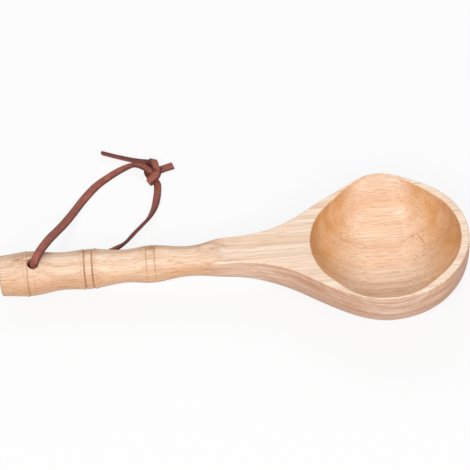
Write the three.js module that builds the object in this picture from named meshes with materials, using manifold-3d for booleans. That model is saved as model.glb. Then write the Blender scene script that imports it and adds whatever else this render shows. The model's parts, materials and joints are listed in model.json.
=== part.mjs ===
// A carved wooden ladle spoon with a bamboo-shaped handle and a tied leather hanging thong.
// Millimetres, +Z up. The spoon lies on a surface at z = 0 as it would on a table: on the
// underside of its bowl and on the thong, which passes under the end of the handle.
// +X runs from the handle to the bowl. The origin is the middle of the spoon's footprint.
import * as THREE from "three";
import { mergeVertices } from "three/addons/utils/BufferGeometryUtils.js";
import Module from "manifold-3d";

const wasm = await Module();
wasm.setup();

// Bowl. Heights are measured from the rim plane, lengths from the middle of the bowl.
const BOWL_DIAMETER = 100;
const BOWL_DEPTH = 37.5;
const BOWL_FULLNESS = 2.55; // superellipse exponent of the outer wall, 2 is a plain ellipse
const RIM_WIDTH = 4.6;
const RIM_BAND = 5.1; // upright part of the outer wall below the rim
const FLOOR_THICKNESS = 6.5;
const CAVITY_FULLNESS = 2.35;
const EDGE_RADIUS = 0.8; // broken edge round the rim and along the neck
const REST_FLAT_DEPTH = 0.4; // sanded flat under the bowl

// Pouring lips, one on each side of the bowl.
const LIP_REACH = 1.9; // how far a lip stands out from the round rim
const LIP_RISE = 2.0;
const LIP_DEPTH = 16; // the lip fades into the wall this far below its edge
const LIP_EDGE = 0.9;
const LIP_HALF_ANGLE = THREE.MathUtils.degToRad(32);
const LIP_LEAN = THREE.MathUtils.degToRad(4.8); // towards the handle

// Neck. Each station holds its distance from the middle of the bowl, half width and underside.
const FLARE = { reach: 50, halfWidth: 24.2, widening: 0.754, underside: -30.5, fall: -0.24 };
const NECK = { reach: 95, halfWidth: 10.6, underside: -17.5, fall: -0.12 };
const TOP_FLAT_FROM = 18; // the round crest of the handle becomes flat over this run
const TOP_FLAT_PAST = 3; // and is flat this far past the start of the neck

// Handle. Waists and nodes from the neck to the end, with the run from the one before.
const HANDLE_DROP = 7; // axis below the rim plane
const HANDLE_PROFILE = [
  { run: 23, radius: 9.0 },
  { run: 21.5, radius: 11.2, lines: [-2.5, 2.5] },
  { run: 15.5, radius: 9.9 },
  { run: 21.5, radius: 11.9, lines: [-2.3, 2.3] },
  { run: 15.5, radius: 11.2 },
  { run: 20.5, radius: 13.4, lines: [0] },
  { run: 17.5, radius: 12.1 },
];
const LINE_WIDTH = 1.2; // lines cut round the nodes
const LINE_DEPTH = 0.6;

// Hole for the thong.
const HOLE_DIAMETER = 7;
const HOLE_FROM_END = 20.1;
const HOLE_OFFSET = 3.4; // to the near side of the handle's middle

// Thong.
const STRAP_WIDTH = 4.8;
const STRAP_THICKNESS = 1.8;
const STRAP_EDGE = 0.45; // bevel on the strap's corners
const GAP = 0.3; // between pieces that touch

// Facets.
const HANDLE_STEP = 4.5;
const FLARE_STEPS = 18;
const BOWL_STEPS = 16;
const UNDERSIDE_STEPS = 16;
const CORNER_STEPS = 4;
const CAVITY_SIDES = 56;
const CAVITY_STEPS = 8;
const HOLE_SIDES = 20;

const bowlRadius = BOWL_DIAMETER / 2;
const cavityRadius = bowlRadius - RIM_WIDTH;
const cavityDepth = BOWL_DEPTH - FLOOR_THICKNESS;

const smooth = (t) => THREE.MathUtils.smoothstep(t, 0, 1);
const mix = THREE.MathUtils.lerp;

// Smooth curve through knots [x, value, slope], in order of x.
function through(knots, x) {
  const last = knots.length - 2;
  let i = knots.findIndex((k, n) => n === last || x < knots[n + 1][0]);
  i = Math.max(i, 0);
  const [x0, v0, s0] = knots[i];
  const [x1, v1, s1] = knots[i + 1];
  const run = x1 - x0;
  const t = THREE.MathUtils.clamp((x - x0) / run, 0, 1);
  const bend0 = v0 * (1 + 2 * t) + s0 * run * t;
  const bend1 = v1 * (3 - 2 * t) - s1 * run * (1 - t);
  return bend0 * (1 - t) ** 2 + bend1 * t ** 2;
}

// Handle stations, from the end to the neck.
const handle = [];
HANDLE_PROFILE.reduce((reach, station) => {
  handle.unshift({ ...station, x: reach - station.run });
  return reach - station.run;
}, -NECK.reach);
const handleEnd = handle[0].x;
const lastWaist = handle[handle.length - 1];
const lineCentres = handle.flatMap((node) => (node.lines ?? []).map((offset) => node.x + offset));

const neckKnot = [-NECK.reach, NECK.halfWidth, 0];
const widthKnots = [
  ...handle.map((station) => [station.x, station.radius, 0]),
  neckKnot,
  [-FLARE.reach, FLARE.halfWidth, FLARE.widening],
  [0, bowlRadius, 0],
];
const undersideKnots = [
  [lastWaist.x, -HANDLE_DROP - lastWaist.radius, 0],
  [-NECK.reach, NECK.underside, NECK.fall],
  [-FLARE.reach, FLARE.underside, FLARE.fall],
  [0, -BOWL_DEPTH, 0],
];

// 1 on the floor of a cut line, 0 at its edges and beyond.
function lineCut(x) {
  const nearest = Math.min(...lineCentres.map((centre) => Math.abs(x - centre)));
  return Math.max(0, 1 - (2 * nearest) / LINE_WIDTH);
}

// Quarter superellipse: height at a distance from the middle, both as shares of 1.
function quarter(share, fullness) {
  return Math.max(0, 1 - Math.abs(share) ** fullness) ** (1 / fullness);
}

function halfWidth(x) {
  if (x > 0) return Math.sqrt(Math.max(0, bowlRadius ** 2 - x ** 2));
  return through(widthKnots, x) - LINE_DEPTH * lineCut(x);
}

function underside(x) {
  if (x > 0) return -RIM_BAND - (BOWL_DEPTH - RIM_BAND) * quarter(x / bowlRadius, BOWL_FULLNESS);
  if (x < lastWaist.x) return -HANDLE_DROP - halfWidth(x);
  return through(undersideKnots, x);
}

// Share of a lip at an angle round the rim, 1 at its middle.
function lipAt(angle) {
  const away = Math.abs(Math.abs(angle) - Math.PI / 2 - LIP_LEAN) / LIP_HALF_ANGLE;
  return away < 1 ? 0.5 + 0.5 * Math.cos(Math.PI * away) : 0;
}
const lipFade = (below) => smooth(1 - below / LIP_DEPTH);

// One cross-section of the spoon. The lower half is a superellipse, the upper half a flat with
// rounded corners, whose radius is the whole half width on the round handle.
function section(x) {
  const width = halfWidth(x);
  const flatness = smooth((x + NECK.reach + TOP_FLAT_FROM) / (TOP_FLAT_FROM + TOP_FLAT_PAST));
  const settled = smooth((x + NECK.reach + TOP_FLAT_FROM) / (NECK.reach + TOP_FLAT_FROM - FLARE.reach));
  const middle = mix(-HANDLE_DROP, -RIM_BAND, settled);
  const lip = x > -bowlRadius ? lipAt(Math.acos(THREE.MathUtils.clamp(x / bowlRadius, -1, 1))) : 0;
  const top = (1 - flatness) * (width - HANDLE_DROP) + LIP_RISE * lip;
  const fullness = mix(2, BOWL_FULLNESS, flatness);
  const cornerWidth = Math.min(width, mix(width, EDGE_RADIUS, flatness));
  const cornerHeight = mix(top - middle, EDGE_RADIUS, flatness);
  const lowest = underside(x);
  const points = [];
  const put = (y, z) => {
    const bulge = width > 0 ? (y / width) * LIP_REACH * lip * lipFade(top - z) : 0;
    points.push(new THREE.Vector3(x, y + bulge, z));
  };
  for (let i = 0; i <= UNDERSIDE_STEPS; i++) {
    const turn = (Math.PI * i) / UNDERSIDE_STEPS;
    const across = Math.abs(Math.cos(turn)) ** (2 / fullness) * Math.sign(UNDERSIDE_STEPS / 2 - i);
    put(-width * across, middle + (lowest - middle) * Math.sin(turn) ** (2 / fullness));
  }
  for (const side of [1, -1]) {
    for (let i = 0; i <= CORNER_STEPS; i++) {
      const turn = (Math.PI / 2) * ((side > 0 ? i : CORNER_STEPS - i) / CORNER_STEPS);
      const y = width - cornerWidth * (1 - Math.cos(turn));
      put(side * y, top - cornerHeight * (1 - Math.sin(turn)));
    }
    if (side > 0) put(0, top);
  }
  return points;
}

// Closed skin over rings of equal count, with flat caps. A ring that has shrunk closes itself.
function loft(rings) {
  const count = rings[0].length;
  const positions = rings.flat().flatMap((point) => point.toArray());
  const faces = [];
  for (let r = 0; r + 1 < rings.length; r++) {
    for (let i = 0; i < count; i++) {
      const a = r * count + i;
      const b = r * count + ((i + 1) % count);
      faces.push(a, b, b + count, a, b + count, a + count);
    }
  }
  for (const ring of [0, rings.length - 1]) {
    const middle = positions.length / 3;
    const centre = rings[ring].reduce((sum, p) => sum.add(p), new THREE.Vector3()).divideScalar(count);
    positions.push(...centre.toArray());
    for (let i = 0; i < count; i++) {
      const a = ring * count + i;
      const b = ring * count + ((i + 1) % count);
      faces.push(middle, ...(ring ? [a, b] : [b, a]));
    }
  }
  const skin = new THREE.BufferGeometry();
  skin.setAttribute("position", new THREE.Float32BufferAttribute(positions, 3));
  skin.setIndex(faces);
  return skin;
}

function toSolid(geometry) {
  const bare = geometry.clone();
  bare.deleteAttribute("normal");
  bare.deleteAttribute("uv");
  const merged = mergeVertices(bare, 1e-3);
  const index = merged.index.array;
  const kept = [];
  for (let i = 0; i < index.length; i += 3) {
    const [a, b, c] = [index[i], index[i + 1], index[i + 2]];
    if (a !== b && b !== c && c !== a) kept.push(a, b, c);
  }
  const vertProperties = new Float32Array(merged.attributes.position.array);
  const triVerts = new Uint32Array(kept);
  return new wasm.Manifold(new wasm.Mesh({ numProp: 3, vertProperties, triVerts }));
}

function toGeometry(solid) {
  const { vertProperties, triVerts } = solid.getMesh();
  const geometry = new THREE.BufferGeometry();
  geometry.setAttribute("position", new THREE.BufferAttribute(vertProperties, 3));
  geometry.setIndex(new THREE.BufferAttribute(triVerts, 1));
  return geometry;
}

// Stations of the outer skin: even along the handle with three at each cut line, even along
// the neck, and closing up towards the tip of the bowl.
function stations() {
  const xs = [];
  for (let i = 0; i < handle.length; i++) {
    const from = handle[i].x;
    const to = handle[i + 1]?.x ?? -NECK.reach;
    const steps = Math.max(1, Math.round((to - from) / HANDLE_STEP));
    for (let s = 0; s < steps; s++) xs.push(mix(from, to, s / steps));
  }
  const clear = (x) => lineCentres.every((centre) => Math.abs(x - centre) > LINE_WIDTH);
  const handleXs = xs.filter((x, i) => i === 0 || clear(x));
  for (const centre of lineCentres) handleXs.push(centre - LINE_WIDTH / 2, centre, centre + LINE_WIDTH / 2);
  handleXs.sort((a, b) => a - b);
  for (let s = 0; s < FLARE_STEPS; s++) handleXs.push(mix(-NECK.reach, 0, s / FLARE_STEPS));
  for (let s = 0; s <= BOWL_STEPS; s++) {
    handleXs.push(bowlRadius * Math.sin((Math.PI / 2) * (s / BOWL_STEPS)));
  }
  return handleXs;
}

// The hollow of the bowl, as the solid that is cut away. Its wall runs out to the lips.
function cavity() {
  const lipRun = bowlRadius + LIP_REACH - LIP_EDGE - cavityRadius;
  const above = LIP_RISE + RIM_WIDTH;
  const rings = [];
  for (let level = 0; level <= CAVITY_STEPS + 1; level++) {
    const turn = (Math.PI / 2) * Math.min(1, level / CAVITY_STEPS);
    const ring = [];
    for (let i = 0; i < CAVITY_SIDES; i++) {
      const angle = (2 * Math.PI * i) / CAVITY_SIDES - Math.PI;
      const lip = lipAt(angle);
      const edge = LIP_RISE * lip;
      const depth = cavityDepth * Math.cos(turn) ** (2 / CAVITY_FULLNESS);
      const z = level > CAVITY_STEPS ? above : edge * Math.sin(turn) - depth;
      const round = cavityRadius * Math.max(1e-3, Math.sin(turn) ** (2 / CAVITY_FULLNESS));
      const radius = round + lip * lipRun * lipFade(Math.max(0, edge - z));
      ring.push(new THREE.Vector3(radius * Math.cos(angle), radius * Math.sin(angle), z));
    }
    rings.push(ring);
  }
  return loft(rings);
}

// How the spoon lies: the tilt at which the bowl touches the surface while the lowest node of
// the handle stands on the thong.
const handleLift = STRAP_THICKNESS + GAP;
const lowestOf = (from, to, tilt) => {
  let lowest = Infinity;
  for (let x = from; x <= to; x += 0.25) {
    lowest = Math.min(lowest, x * Math.sin(tilt) + underside(x) * Math.cos(tilt));
  }
  return lowest;
};
let tilt = 0;
let bowlLow = 0;
for (let step = 0.2; step > 1e-9; step /= 2) {
  bowlLow = lowestOf(-NECK.reach, bowlRadius, tilt) + REST_FLAT_DEPTH;
  const lift = lowestOf(handleEnd, -NECK.reach, tilt) - bowlLow;
  tilt += lift > handleLift ? step : -step;
}
const lie = new THREE.Matrix4().makeTranslation(0, 0, -bowlLow);
lie.multiply(new THREE.Matrix4().makeRotationY(-tilt));

// The wooden body, laid down, with its hollow, its sanded flat and its upright hole.
const skin = loft(stations().map(section)).applyMatrix4(lie);
skin.computeBoundingBox();
const middleX = (skin.boundingBox.min.x + skin.boundingBox.max.x) / 2;
const tall = skin.boundingBox.max.z;

const holePoint = new THREE.Vector3(handleEnd + HOLE_FROM_END, -HOLE_OFFSET, -HANDLE_DROP).applyMatrix4(lie);
const crest = holePoint.z + halfWidth(handleEnd + HOLE_FROM_END);
const drill = new THREE.CylinderGeometry(HOLE_DIAMETER / 2, HOLE_DIAMETER / 2, 2 * tall, HOLE_SIDES);
drill.rotateX(Math.PI / 2).translate(holePoint.x, holePoint.y, 0);
const sanding = new THREE.BoxGeometry(4 * bowlRadius, 4 * bowlRadius, tall).translate(0, 0, -tall / 2);

const bodySolid = toSolid(skin)
  .subtract(toSolid(cavity().applyMatrix4(lie)))
  .subtract(toSolid(drill))
  .subtract(toSolid(sanding));

const woodMaterial = new THREE.MeshStandardMaterial({ color: 0xe6bd90, roughness: 0.55, metalness: 0 });
const leatherMaterial = new THREE.MeshStandardMaterial({ color: 0x8a4a3c, roughness: 0.75, metalness: 0 });

const spoon = new THREE.Group();
const body = new THREE.Mesh(toGeometry(bodySolid), woodMaterial);
body.name = "spoon_body";
body.position.x = -middleX;
spoon.add(body);

// Thong. Each route is a list of knots [x, y, z, face x, face y, face z] from the middle of the
// hole, in millimetres from the hole's axis and the surface; the face is the way the strap's
// flat side looks. Heights near the handle follow the crest of the handle.
const lying = STRAP_THICKNESS / 2;
const holeRoute = [
  [0, 0, lying + 4.6, -0.1, -1, 0],
  [0.5, 0.15, crest - 2, -0.5, -0.86, 0],
];
const frontRoute = [
  [0.4, 0.1, crest / 2, -0.5, -0.86, 0],
  [0.5, 0.15, crest - 2, -0.5, -0.86, 0],
  [1.9, 0.3, crest + 2.3, -0.46, -0.48, 0.75],
  [4.2, 4.6, crest + 3.9, -0.12, -0.05, 0.99],
  [7.1, 11, crest + 3, 0.15, 0.23, 0.96],
  [9.7, 19.1, crest * 0.98, 0.27, 0.36, 0.89],
  [12.7, 29, crest * 0.79, 0.33, 0.39, 0.86],
  [16, 39.7, crest * 0.58, 0.3, 0.39, 0.87],
  [19.1, 50.5, crest * 0.38, 0.24, 0.38, 0.89],
  [22.3, 61.3, crest * 0.20, 0.18, 0.33, 0.93],
  [25.9, 71.4, lying + 1.4, 0.07, 0.22, 0.97],
  [29.5, 78.8, lying + 0.2, 0, 0, 1],
  [36.9, 89.5, lying + 0.1, 0, 0, 1],
  [44.6, 96.9, lying + 0.25, 0, 0.06, 1],
  [52.1, 102, lying + 1.1, 0, 0.2, 0.98],
  [59.3, 104.5, 3.4, 0, 0.36, 0.93],
  [63.4, 103.1, 4.6, 0.05, 0.38, 0.92],
  [67.2, 100.2, 5.4, 0.1, 0.26, 0.96],
  [70.3, 97.1, 5.9, 0.12, 0.05, 1],
  [72.5, 95.2, 5.8, 0.2, -0.2, 0.95],
  [74.1, 95.5, 5, 0.65, -0.45, 0.6],
  [74.9, 97.4, 4.5, 0.92, -0.35, 0.2],
  [75.1, 100, 4.5, 1, 0, 0.1],
  [74.8, 102.4, 4.8, 0.95, 0.25, 0.15],
  [73.9, 104.4, 4.8, 0.6, 0.75, 0.3],
  [72.1, 105.5, 4.5, 0.2, 0.9, 0.4],
  [70.2, 106.4, 4, 0.2, 0.89, 0.4],
  [67.5, 107.6, 3.1, 0.24, 0.9, 0.36],
  [60.7, 109.4, 2.8, 0.25, 0.89, 0.38],
  [50.6, 113, 2.7, 0.25, 0.85, 0.45],
  [40.5, 117, 2.7, 0.25, 0.84, 0.49],
];
const backRoute = [
  [0, 0, crest / 2, -0.3, -0.95, 0],
  [0, 0, lying + 4.6, -0.1, -1, 0],
  [0, 0, lying + 2.6, -0.1, -1, 0],
  [0, 0.35, lying + 1.3, -0.08, -0.87, -0.5],
  [0.1, 1.3, lying + 0.42, -0.05, -0.5, -0.87],
  [0.3, 2.3, lying + 0.1, 0, 0, -1],
  [1.2, 4.2, lying + 0.07, 0, 0, -1],
  [5.6, 9.5, lying + 0.05, 0, 0, -1],
  [15.4, 16.5, lying + 0.05, 0, 0, -1],
  [31.4, 24.7, lying + 0.25, 0, 0, -1],
  [48.5, 34.5, 2, 0.35, -0.33, -0.87],
  [54.5, 38.8, 2.7, 0.58, -0.52, -0.62],
  [60.3, 46.7, 2.8, 0.58, -0.52, -0.62],
  [64.9, 52.7, 2.9, 0.6, -0.52, -0.6],
  [69.6, 59.5, 2.8, 0.64, -0.46, -0.6],
  [72.7, 67.6, 2.5, 0.54, -0.26, -0.8],
  [74.2, 75.9, 1.8, 0.28, -0.05, -0.95],
  [74.9, 83.3, 1.1, 0, 0, -1],
  [74.9, 88.8, 1.1, 0, 0, -1],
  [73.5, 91.7, 1.2, 0, 0, -1],
  [71.5, 91.5, 1.7, -0.3, -0.2, -0.9],
  [70, 89, 3.4, -0.8, -0.6, -0.1],
  [70.5, 88.6, 5.6, -0.4, -0.5, 0.75],
  [72.6, 90.1, 7.1, 0.05, -0.35, 0.93],
  [74.9, 93, 7.8, 0.92, -0.2, 0.3],
  [74.4, 96.2, 8.5, 0.4, -0.1, 0.9],
  [73.7, 99.8, 8.5, 0.15, 0.1, 1],
  [73.1, 103.5, 7.3, 0.2, 0.55, 0.8],
  [72.5, 107, 4.8, 0.1, 0.97, 0.1],
  [71.5, 107.7, 2.2, 0, 0.6, -0.75],
  [69.8, 104.8, 1.1, 0, 0, -1],
  [69, 100.3, 1.3, 0, 0, -1],
  [70.7, 95.5, 2.2, 0.1, 0.2, -0.97],
  [73.7, 92.6, 3.3, 0.3, -0.1, -0.9],
  [75.6, 93.9, 3.4, 0.75, -0.3, -0.4],
  [76.5, 97.8, 3.1, 0.97, 0.1, -0.2],
  [77.3, 101.2, 2.2, 0.35, -0.25, -0.9],
  [79.4, 102.3, 1.9, 0.02, 0.22, -0.97],
  [85, 104.6, 1.9, 0, 0.3, -0.95],
];

// Flat strap along a route, from one knot to another, as rings of a bevelled rectangle.
function strap(route, from, to, steps) {
  const line = new THREE.CatmullRomCurve3(route.map((knot) => new THREE.Vector3(...knot.slice(0, 3))));
  const look = new THREE.CatmullRomCurve3(route.map((knot) => new THREE.Vector3(...knot.slice(3))));
  const last = route.length - 1;
  const [across, up] = [STRAP_WIDTH / 2, STRAP_THICKNESS / 2];
  const outline = [
    [across, up - STRAP_EDGE],
    [across - STRAP_EDGE, up],
    [STRAP_EDGE - across, up],
    [-across, up - STRAP_EDGE],
    [-across, STRAP_EDGE - up],
    [STRAP_EDGE - across, -up],
    [across - STRAP_EDGE, -up],
    [across, STRAP_EDGE - up],
  ];
  const span = (a, b) => line.getPoint(a / last).distanceTo(line.getPoint(b / last));
  const start = from + GAP / 2 / span(from, from + 1);
  const end = to - GAP / 2 / span(to - 1, to);
  const rings = [];
  for (let i = 0; i <= steps; i++) {
    const t = mix(start, end, i / steps) / last;
    const along = line.getTangent(t);
    const side = new THREE.Vector3().crossVectors(look.getPoint(t), along).normalize();
    const face = new THREE.Vector3().crossVectors(along, side);
    const centre = line.getPoint(t);
    rings.push(outline.map(([a, b]) => centre.clone().addScaledVector(side, a).addScaledVector(face, b)));
  }
  return loft(rings);
}

const thong = new THREE.Group();
thong.position.set(holePoint.x - middleX, holePoint.y, 0);
spoon.add(thong);

function addThong(name, geometry) {
  const mesh = new THREE.Mesh(geometry, leatherMaterial);
  mesh.name = name;
  thong.add(mesh);
}

// Knots of the routes where one stretch ends and the next begins.
const HOLE_TOP = 1;
const FRONT_KNOT = 16;
const LONG_TAIL = 27;
const HOLE_BOTTOM = 1;
const UNDER_END = 10;
const BACK_KNOT = 17;
const SHORT_TAIL = 37;

addThong("thong_in_hole", strap(holeRoute, 0, 1, 6));
addThong("thong_front_strand", strap(frontRoute, HOLE_TOP, FRONT_KNOT, 32));
addThong("thong_under_handle", strap(backRoute, HOLE_BOTTOM, UNDER_END, 18));
addThong("thong_back_strand", strap(backRoute, UNDER_END, BACK_KNOT, 20));
const knotFront = toSolid(strap(frontRoute, FRONT_KNOT, LONG_TAIL, 33));
const knotBack = toSolid(strap(backRoute, BACK_KNOT, SHORT_TAIL, 54));
addThong("thong_knot", toGeometry(knotFront.add(knotBack)));
addThong("thong_long_tail", strap(frontRoute, LONG_TAIL, frontRoute.length - 1, 6));
addThong("thong_short_tail", strap(backRoute, SHORT_TAIL, backRoute.length - 1, 4));

export default spoon;
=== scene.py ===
# %% [markdown]
# # A carved ladle spoon with a leather hanging thong
# The real object is one piece of pale hardwood and one strip of brown leather. The solid model
# fixes every size and place, so this lesson only dresses it: each piece is worked out with numpy
# in the same frame, in metres, and put where the solid is. The frame is loaded first, and its box
# is kept to compare the pieces with.

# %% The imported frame
import json

import bpy
import numpy as np
from mathutils import Matrix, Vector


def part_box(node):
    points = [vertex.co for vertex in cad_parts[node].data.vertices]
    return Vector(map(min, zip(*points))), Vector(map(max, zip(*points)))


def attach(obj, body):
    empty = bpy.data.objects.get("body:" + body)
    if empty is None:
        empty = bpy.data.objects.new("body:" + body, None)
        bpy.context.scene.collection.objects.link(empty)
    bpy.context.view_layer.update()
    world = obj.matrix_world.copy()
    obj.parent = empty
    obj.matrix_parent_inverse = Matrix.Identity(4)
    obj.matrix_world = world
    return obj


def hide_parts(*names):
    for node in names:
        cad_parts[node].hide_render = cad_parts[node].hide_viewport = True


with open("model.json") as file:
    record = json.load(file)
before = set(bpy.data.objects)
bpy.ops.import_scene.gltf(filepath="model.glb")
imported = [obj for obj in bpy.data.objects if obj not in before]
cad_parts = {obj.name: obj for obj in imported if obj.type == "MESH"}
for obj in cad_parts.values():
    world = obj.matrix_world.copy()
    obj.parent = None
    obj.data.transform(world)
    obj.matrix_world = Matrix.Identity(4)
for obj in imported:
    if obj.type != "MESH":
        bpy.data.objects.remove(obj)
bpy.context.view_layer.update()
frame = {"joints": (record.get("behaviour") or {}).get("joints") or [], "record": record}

MM = 0.001

# %% [markdown]
# ## Camera
# The photograph looks down on the spoon from its near side, from far away with a long lens, so
# the handle hardly shrinks towards the left. We build the camera's three directions from an
# elevation, a turn round the object and a slight roll, and step back from the point that sits in
# the middle of the picture.

# %% Camera at the photograph's angle
ELEVATION, TURN, ROLL = np.radians([46.34, -1.94, -0.454])
AIM = np.array([1.699, 22.163, 20.0]) * MM
DISTANCE = 1.6
FOCAL_PIXELS, IMAGE_PIXELS = 2657.6, 470


def unit(vectors):
    """Vectors of length one with the same directions."""
    return vectors / np.linalg.norm(vectors, axis=-1, keepdims=True)


def pose_from(right, up, back, spot):
    """The pose of an object at a spot, whose x, y and z axes are three directions."""
    return Matrix(np.vstack([np.column_stack([right, up, back, spot]), (0, 0, 0, 1)]))


def add_to_scene(name, data):
    """A new object of the scene that shows a mesh, a lamp or a lens."""
    made = bpy.data.objects.new(name, data)
    bpy.context.scene.collection.objects.link(made)
    return made


def camera_pose(elevation, turn, roll, aim, distance):
    """Right, up and back directions of a camera that is turned about the vertical, raised, then rolled."""
    back = np.array([np.sin(turn) * np.cos(elevation), -np.cos(turn) * np.cos(elevation), np.sin(elevation)])
    level = np.array([np.cos(turn), np.sin(turn), 0])
    upright = np.cross(back, level)
    right = level * np.cos(roll) + upright * np.sin(roll)
    up = upright * np.cos(roll) - level * np.sin(roll)
    return pose_from(right, up, back, aim + back * distance)


lens = bpy.data.cameras.new("photo_camera")
lens.sensor_width = 36
lens.lens = FOCAL_PIXELS / IMAGE_PIXELS * lens.sensor_width
lens.clip_start, lens.clip_end = 0.05, 20
camera = add_to_scene("photo_camera", lens)
camera.matrix_world = camera_pose(ELEVATION, TURN, ROLL, AIM, DISTANCE)
bpy.context.scene.camera = camera
print("lens", round(lens.lens, 1), "mm, camera at", [round(v, 3) for v in camera.location])

# %% [markdown]
# ## The thong's routes
# The thong is one flat strip. One end comes up out of the hole and arches over to the table, the
# other runs under the handle and out behind it, and both meet in the knot. A route is a list of
# places on the centre line, in millimetres from the hole's axis as in the solid model, each with
# the way that the smooth side faces there, so it also says how the strip twists. A short third
# route lets the short tail come out flat from under the knot.

# %% Routes of the thong
hinge = next(j for j in frame["joints"] if j["name"] == "loop_swing")
HOLE = np.array([hinge["pos_m"][0], hinge["pos_m"][1], 0.0])
STRAP_WIDTH, STRAP_THICKNESS = 4.8 * MM, 1.8 * MM

FRONT_ROUTE = np.array([
    (0.4, 0.1, 14.49, -0.5, -0.86, 0), (0.5, 0.15, 26.99, -0.5, -0.86, 0),
    (1.9, 0.3, 31.29, -0.46, -0.48, 0.75), (4.2, 4.6, 32.89, -0.12, -0.05, 0.99),
    (7.1, 11, 31.99, 0.15, 0.23, 0.96), (9.7, 19.1, 28.41, 0.27, 0.36, 0.89),
    (12.7, 29, 22.9, 0.33, 0.39, 0.86), (16, 39.7, 16.81, 0.3, 0.39, 0.87),
    (19.1, 50.5, 11.02, 0.24, 0.38, 0.89), (22.3, 61.3, 5.8, 0.18, 0.33, 0.93),
    (25.9, 71.4, 2.3, 0.07, 0.22, 0.97), (29.5, 78.8, 1.1, 0, 0, 1), (36.9, 89.5, 1, 0, 0, 1),
    (44.6, 96.9, 1.15, 0, 0.06, 1), (52.1, 102, 2, 0, 0.2, 0.98), (59.3, 104.5, 3.4, 0, 0.36, 0.93),
    (63.4, 103.1, 4.6, 0.05, 0.38, 0.92), (67.2, 100.2, 5.4, 0.1, 0.26, 0.96), (70.3, 97.1, 5.9, 0.12, 0.05, 1),
    (72.5, 95.2, 5.8, 0.2, -0.2, 0.95), (74.1, 95.5, 5, 0.65, -0.45, 0.6), (74.9, 97.4, 4.5, 0.92, -0.35, 0.2),
    (75.1, 100, 4.5, 1, 0, 0.1), (74.8, 102.4, 4.8, 0.95, 0.25, 0.15), (73.9, 104.4, 4.8, 0.6, 0.75, 0.3),
    (72.1, 105.5, 4.5, 0.2, 0.9, 0.4), (70.2, 106.4, 4, 0.2, 0.89, 0.4), (67.5, 107.6, 3.1, 0.24, 0.9, 0.36),
    (60.7, 109.4, 2.8, 0.25, 0.89, 0.38), (50.6, 113, 2.7, 0.25, 0.85, 0.45),
    (40.5, 117, 2.7, 0.25, 0.84, 0.49),
])
BACK_ROUTE = np.array([
    (0, 0, 14.49, -0.3, -0.95, 0), (0, 0, 5.5, -0.1, -1, 0), (0, 0, 3.5, -0.1, -1, 0),
    (0, 0.35, 2.2, -0.08, -0.87, -0.5), (0.1, 1.3, 1.32, -0.05, -0.5, -0.87), (0.3, 2.3, 1, 0, 0, -1),
    (1.2, 4.2, 0.97, 0, 0, -1), (5.6, 9.5, 0.95, 0, 0, -1), (15.4, 16.5, 0.95, 0, 0, -1),
    (31.4, 24.7, 1.15, 0, 0, -1), (48.5, 34.5, 2, 0.35, -0.33, -0.87), (54.5, 38.8, 2.7, 0.58, -0.52, -0.62),
    (60.3, 46.7, 2.8, 0.58, -0.52, -0.62), (64.9, 52.7, 2.9, 0.6, -0.52, -0.6),
    (69.6, 59.5, 2.8, 0.64, -0.46, -0.6), (72.7, 67.6, 2.5, 0.54, -0.26, -0.8),
    (74.2, 75.9, 1.8, 0.28, -0.05, -0.95), (74.9, 83.3, 1.1, 0, 0, -1), (74.9, 88.8, 1.1, 0, 0, -1),
    (73.5, 91.7, 1.2, 0, 0, -1), (71.5, 91.5, 1.7, -0.3, -0.2, -0.9), (70, 89, 3.4, -0.8, -0.6, -0.1),
    (70.5, 88.6, 5.6, -0.4, -0.5, 0.75), (72.6, 90.1, 7.1, 0.05, -0.35, 0.93), (74.9, 93, 7.8, 0.92, -0.2, 0.3),
    (74.4, 96.2, 8.5, 0.4, -0.1, 0.9), (73.7, 99.8, 8.5, 0.15, 0.1, 1), (73.1, 103.5, 7.3, 0.2, 0.55, 0.8),
    (72.5, 107, 4.8, 0.1, 0.97, 0.1), (71.5, 107.7, 2.2, 0, 0.6, -0.75), (69.8, 104.8, 1.1, 0, 0, -1),
    (69, 100.3, 1.3, 0, 0, -1), (70.7, 95.5, 2.2, 0.1, 0.2, -0.97), (73.7, 92.6, 3.3, 0.3, -0.1, -0.9),
    (75.6, 93.9, 3.4, 0.75, -0.3, -0.4), (76.5, 97.8, 3.1, 0.97, 0.1, -0.2),
    (77.3, 101.2, 2.2, 0.35, -0.25, -0.9), (79.4, 102.3, 1.9, 0.02, 0.22, -0.97),
    (85, 104.6, 1.9, 0, 0.3, -0.95),
])
UNDER_KNOT = np.array([(74.4, 100.1, 1.7, 0, 0.15, -0.98), (76.8, 101.2, 1.8, 0, 0.2, -0.97)])
TAIL_ROUTE = np.vstack([UNDER_KNOT, BACK_ROUTE[-2:]])
print("route points", len(FRONT_ROUTE), "in front and", len(BACK_ROUTE), "behind")

# %% [markdown]
# ## A smooth line through the points
# A strip of leather bends in one flowing line. A Catmull-Rom curve passes through every point and
# has no corners, which suits a route that was read off a picture. The centripetal kind weighs each
# stretch by the square root of its length, so close points in the knot don't make the curve loop
# back on itself. We then walk along it in even steps.

# %% Curve through a route
COINCIDENT, FINE_STEPS, NUDGE = 1e-4, 4000, 1e-3


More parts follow.
